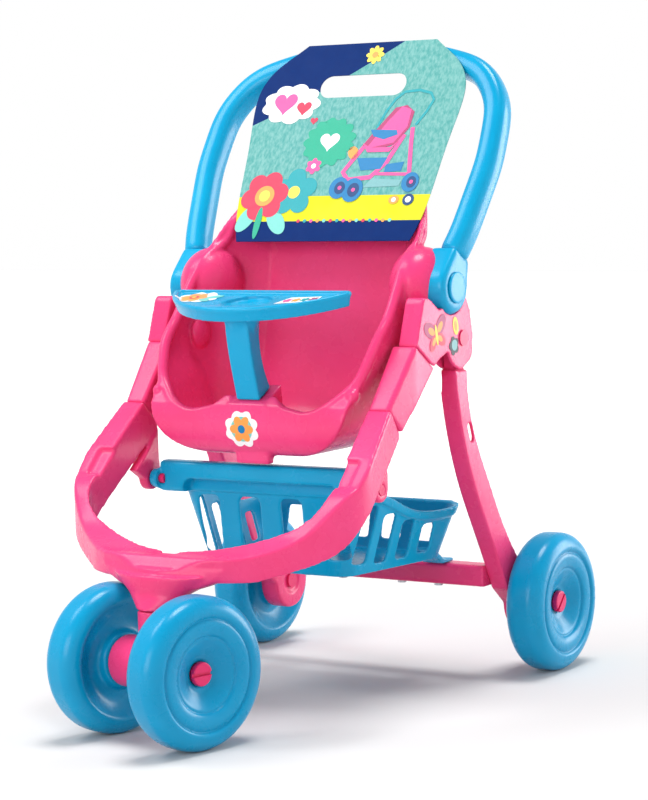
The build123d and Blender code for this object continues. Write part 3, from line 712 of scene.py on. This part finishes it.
def pushchair_shapes():
    """A plain picture of a toy pushchair."""
    handle = [(25, 98), (30, 113), (36, 124), (43, 130), (56, 131), (67, 128), (71, 122), (67, 112),
              (60, 100)]
    shapes = [("teal", 1, stroke(handle, 2.4)),
              ("plum", 1, [(16, 83), (29, 103), (38, 116), (48, 118), (56, 112), (55, 98), (46, 84),
                           (28, 78)]),
              ("pink", 2, [(20, 80), (34, 104), (44, 117), (53, 114), (53, 99), (44, 85)]),
              ("blue", 3, [(20, 97), (44, 96), (46, 92), (34, 88), (24, 91)]),
              ("pink", 3, [(16, 85), (22, 77), (42, 77), (48, 86), (42, 81), (24, 81)]),
              ("pink", 1, stroke([(58, 98), (60, 84), (66, 52)], 3.6)),
              ("pink", 1, stroke([(24, 92), (10, 70), (4, 60), (10, 53)], 4)),
              ("pink", 1, stroke([(52, 92), (42, 68), (30, 55), (10, 53)], 4)),
              ("pink", 1, stroke([(32, 58), (64, 57)], 2.6)),
              ("blue", 1, [(14, 72), (42, 72), (38, 62), (20, 61)]),
              ("blue", 1, [(42, 66), (58, 68), (57, 60), (42, 59)])]
    for u, v, r in ((4, 46, 9.5), (17, 44, 10.5), (68, 50, 8.5)):
        shapes += [("blue", 4, disc(u, v, r * 0.9, r)), ("navy", 5, disc(u + 1, v, r * 0.5, r * 0.58)),
                   ("pink", 6, disc(u + 1, v, 1.7))]
    shapes.append(("grey", 1, [(26, 46), (58, 47), (60, 52), (32, 54)]))
    return shapes


def card_shapes():
    shapes = [("green", 1, scallop(-16, 87, 22.5, 20.5, 13)), ("white", 2, heart(-16, 88, 9))]
    shapes += [("white", 1, scallop(-62, 123, 26, 17, 9, 0.08, 0.3)), ("pink", 2, heart(-68, 124, 11)),
               ("red", 2, heart(-49, 119, 7))]
    # a small daisy at the top
    shapes += [("yellow", 1, p) for p in petals(6, 165, 8, 2.2, 8)] + [("orange", 2, disc(6, 165, 2.8))]
    shapes += [("orange", 1, disc(9, 77, 4.5, 6, 30)), ("red", 1, heart(-36, 107, 3.5))]
    # flowers at the lower left
    shapes += [("teal", 1, p) for p in petals(-37, 43, 20, 8.5, 5, 20)]
    shapes += [("yellow", 2, disc(-37, 43, 5.5)), ("pink", 1, scallop(-25, 66, 6, 6, 6, 0.2)),
               ("white", 2, disc(-25, 66, 2.2))]
    shapes += [("red", 2, p) for p in petals(-64, 40, 21, 9, 6, 10)]
    shapes += [("orange", 3, disc(-64, 40, 9)), ("yellow", 4, disc(-64, 40, 5))]
    shapes += [("aqua", 1, disc(-76, 20, 13, 7, 60)), ("aqua", 1, disc(-47, 17, 13, 7, -50)),
               ("green", 2, disc(-64, 16, 3, 14))]
    # a row of coloured dots along the foot of the yellow band
    dot_colours = ("red", "teal", "pink", "orange", "aqua")
    for k in range(15):
        shapes.append((dot_colours[k % 5], 1, disc(-26 + 6 * k, STRIP_TOP, 1.5)))
    shapes += pushchair_shapes()
    shapes += [("orange", 2, disc(57, 35, 4.5, 3.6)), ("white", 3, disc(57, 35, 2)),
               ("navy", 2, disc(70, 35, 5)), ("white", 3, disc(70, 35, 2.6))]
    return shapes


def tray_shapes():
    """A flower at the left end, and a row of four small ones on a white label at the right end."""
    shapes = [("white", 1, scallop(-50, -17, 18, 12.5, 8, 0.1)), ("aqua", 2, disc(-36, -15, 7, 4, 30)),
              ("aqua", 2, disc(-41, -23, 7, 3.5, -40))]
    shapes += [("orange", 2, p) for p in petals(-54, -17, 11, 4.6, 6)]
    shapes += [("red", 3, disc(-54, -17, 4)), ("yellow", 4, disc(-54, -17, 2))]
    shapes.append(("white", 1, [(29, -33), (33, -15), (58, -11), (60, -25)]))
    for k, colour in enumerate(("pink", "orange", "teal", "plum")):
        shapes.append((colour, 2, scallop(35.5 + 6.6 * k, -24 + 1.8 * k, 2.8, 4.2, 5, 0.25, k)))
    return shapes


def butterfly(u, v, size, colours, turn=0.0):
    """Four spotted wings about a body. The colours are upper wings, lower wings, spots and body."""
    upper, lower, spot, body = colours
    shapes = []
    wings = ((35, 1.0, upper), (145, 1.0, upper), (-40, 0.75, lower), (-140, 0.75, lower))
    for angle, reach, colour in wings:
        span = size * reach
        shapes.append((colour, 1, leaf(u, v, span * 0.52, angle + turn, span * 0.5, span * 0.3)))
        shapes.append((spot, 2, leaf(u, v, span * 0.42, angle + turn, span * 0.26, span * 0.14)))
    shapes.append((body, 3, disc(u, v, size * 0.09, size * 0.42, turn)))
    return shapes


def lip_shapes():
    """A flower of six petals on a disc and a scalloped ground."""
    u, v = -3, 211
    shapes = [("white", 1, scallop(u, v, 14, 13, 8, 0.1)), ("aqua", 2, disc(u, v, 9.5))]
    shapes += [("orange", 3, p) for p in petals(u, v, 10, 3.4, 6)]
    return shapes + [("blue", 4, disc(u, v, 3.2))]


def bracket_shapes(side):
    """A butterfly, a bud, and a dark scalloped ring round a grey disc, at stations and heights, mirrored by
    the side.
    """
    shapes = butterfly(side * 200, 278, 19, ("plum", "red", "orange", "yellow"), 12 * side)
    shapes += [("yellow", 1, disc(side * 229, 283, 4, 7, 12 * side)),
               ("orange", 2, disc(side * 229, 283, 2, 4, 12 * side))]
    # a dark scalloped ring with a grey disc laid on it
    return shapes + [("dark", 1, scallop(side * 226, 268, 6.5, 6.5, 5, 0.16)),
                     ("grey", 2, disc(side * 226.5, 268.5, 4.2, 4.2))]


def build_artwork():
    """The card's print, and the stickers laid on the tray, the lip and the outer side of the brackets."""
    moulded = bpy.data.objects
    card_face = CARD_ORIGIN + CARD_FRONT * CARD_SKIN * MM
    artwork("card_print_", card_face, ACROSS, CARD_UP, card_shapes(), "handle")
    artwork("tray_sticker_", TRAY_ORIGIN + TRAY_FACE * 10 * MM, ACROSS, TRAY_BACK, tray_shapes(), "tray",
            surface(moulded["tray_moulding"]))
    artwork("lip_sticker_", at(0, 90, 0), ACROSS, UPWARDS, lip_shapes(), "front_frame",
            surface(moulded["seat_bucket_moulding"]))
    for side_name, side in SIDES.items():
        artwork(f"bracket_sticker_{side_name}_", at(side * 140, 0, 0), Vector((0, side, 0)), UPWARDS,
                bracket_shapes(side), "front_frame", surface(moulded[f"side_bracket_{side_name}_moulding"]))


# ---------------------------------------------------------------- the object
build_wheels()
build_seat()
build_bow()
build_tray()
build_handle()
soften("basket", voxel=1.0, passes=6, keep=0.35)
soften("caster_body")
soften("rear_crossbar")
for side_name, side in SIDES.items():
    for node in ("front_rail", "side_bracket", "hub_cap"):
        soften(f"{node}_{side_name}")
    build_leg(side_name, side)
    build_hub(side_name, side)
build_artwork()


# ---------------------------------------------------------------- floor, lights and camera
FLOOR_HALF = 6
LIGHT_TARGET = Vector((0, 0, 0.25))
SUN_FROM, SUN_STRENGTH = Vector((0.06, 0.1, 1)), 2.5
# place, watts, width and height
SOFTBOXES = {"front_softbox": ((-0.1, -2.2, 0.8), 16, (1.2, 0.9)),
             "upper_left_softbox": ((-1.0, -0.65, 1.75), 15, (0.8, 0.8)),
             "right_softbox": ((1.3, 1.7, 0.5), 27, (0.9, 1.2))}


def build_floor():
    """A pale floor, painted grey round the object as shade that deepens its shadow, paler with distance to
    meet the backdrop without a line.
    """
    bm = bmesh.new()
    bmesh.ops.create_grid(bm, x_segments=1, y_segments=1, size=FLOOR_HALF)
    mesh = mesh_from(bm, "studio_floor")
    floor = add_object("studio_floor", mesh)
    g = Graph("studio_floor")
    away = g.add("ShaderNodeVectorMath", operation="LENGTH")
    g.link(g.coords(), away.inputs[0])
    # painted shade: grey out to 0.45 m from the middle, fading to near white by 1.5 m, so that the object's
    # cast shadow reads deeper
    painted_shade_grey = g.mix(g.noise(3.0), srgb(203, 203, 203), srgb(206, 206, 206))
    distance = g.spread(away.outputs["Value"], 0.0, 1.0, (0.45, 1.5))
    g.link(g.mix(distance, painted_shade_grey, srgb(253, 253, 253)), g.shader.inputs["Base Color"])
    g.shader.inputs["Roughness"].default_value = 0.8
    mesh.materials.append(g.material)


def build_lights():
    """A white backdrop, bright at the horizon and dimmer overhead, a soft sun and three softboxes."""
    world = bpy.data.worlds.new("studio_world")
    world.use_nodes = True
    tree = world.node_tree
    background = tree.nodes["Background"]
    background.inputs["Color"].default_value = (1, 1, 1, 1)
    direction = tree.nodes.new("ShaderNodeTexCoord").outputs["Generated"]
    split = tree.nodes.new("ShaderNodeSeparateXYZ")
    spread = tree.nodes.new("ShaderNodeMapRange")
    for key, value in (("From Min", 0.15), ("From Max", 0.9), ("To Min", 1.0), ("To Max", 0.25)):
        spread.inputs[key].default_value = value
    tree.links.new(direction, split.inputs[0])
    tree.links.new(split.outputs["Z"], spread.inputs["Value"])
    tree.links.new(spread.outputs["Result"], background.inputs["Strength"])
    bpy.context.scene.world = world
    sun = bpy.data.lights.new("overhead_light", "SUN")
    sun.energy = SUN_STRENGTH
    sun.angle = radians(24)
    add_object("overhead_light", sun).rotation_euler = SUN_FROM.to_track_quat("Z", "Y").to_euler()
    for name, (place, watts, size) in SOFTBOXES.items():
        light = bpy.data.lights.new(name, "AREA")
        light.energy = watts
        light.shape = "RECTANGLE"
        light.size, light.size_y = size
        softbox = add_object(name, light)
        softbox.location = place
        softbox.rotation_euler = (LIGHT_TARGET - Vector(place)).to_track_quat("-Z", "Y").to_euler()


CAMERA_AZIMUTH, CAMERA_ELEVATION, CAMERA_ROLL = radians(32.76), radians(5.51), radians(1.57)
CAMERA_PLACE = (1.0701, -1.59593, 0.4133)
CAMERA_LENS = 113.87


def build_camera():
    """A long lens at the viewing angle: azimuth from the front, elevation and a slight roll."""
    level = cos(CAMERA_ELEVATION)
    back = Vector((sin(CAMERA_AZIMUTH) * level, -cos(CAMERA_AZIMUTH) * level, sin(CAMERA_ELEVATION)))
    right = Vector((cos(CAMERA_AZIMUTH), sin(CAMERA_AZIMUTH), 0))
    up = back.cross(right)
    x_axis = right * cos(CAMERA_ROLL) - up * sin(CAMERA_ROLL)
    y_axis = right * sin(CAMERA_ROLL) + up * cos(CAMERA_ROLL)
    data = bpy.data.cameras.new("camera")
    data.sensor_width = 36
    data.lens = CAMERA_LENS
    data.clip_end = 50
    camera = add_object("camera", data)
    turn = Matrix((x_axis, y_axis, back)).transposed()
    camera.matrix_world = Matrix.Translation(CAMERA_PLACE) @ turn.to_4x4()
    bpy.context.scene.camera = camera


build_floor()
build_lights()
build_camera()
bpy.context.scene.view_settings.view_transform = "Standard"
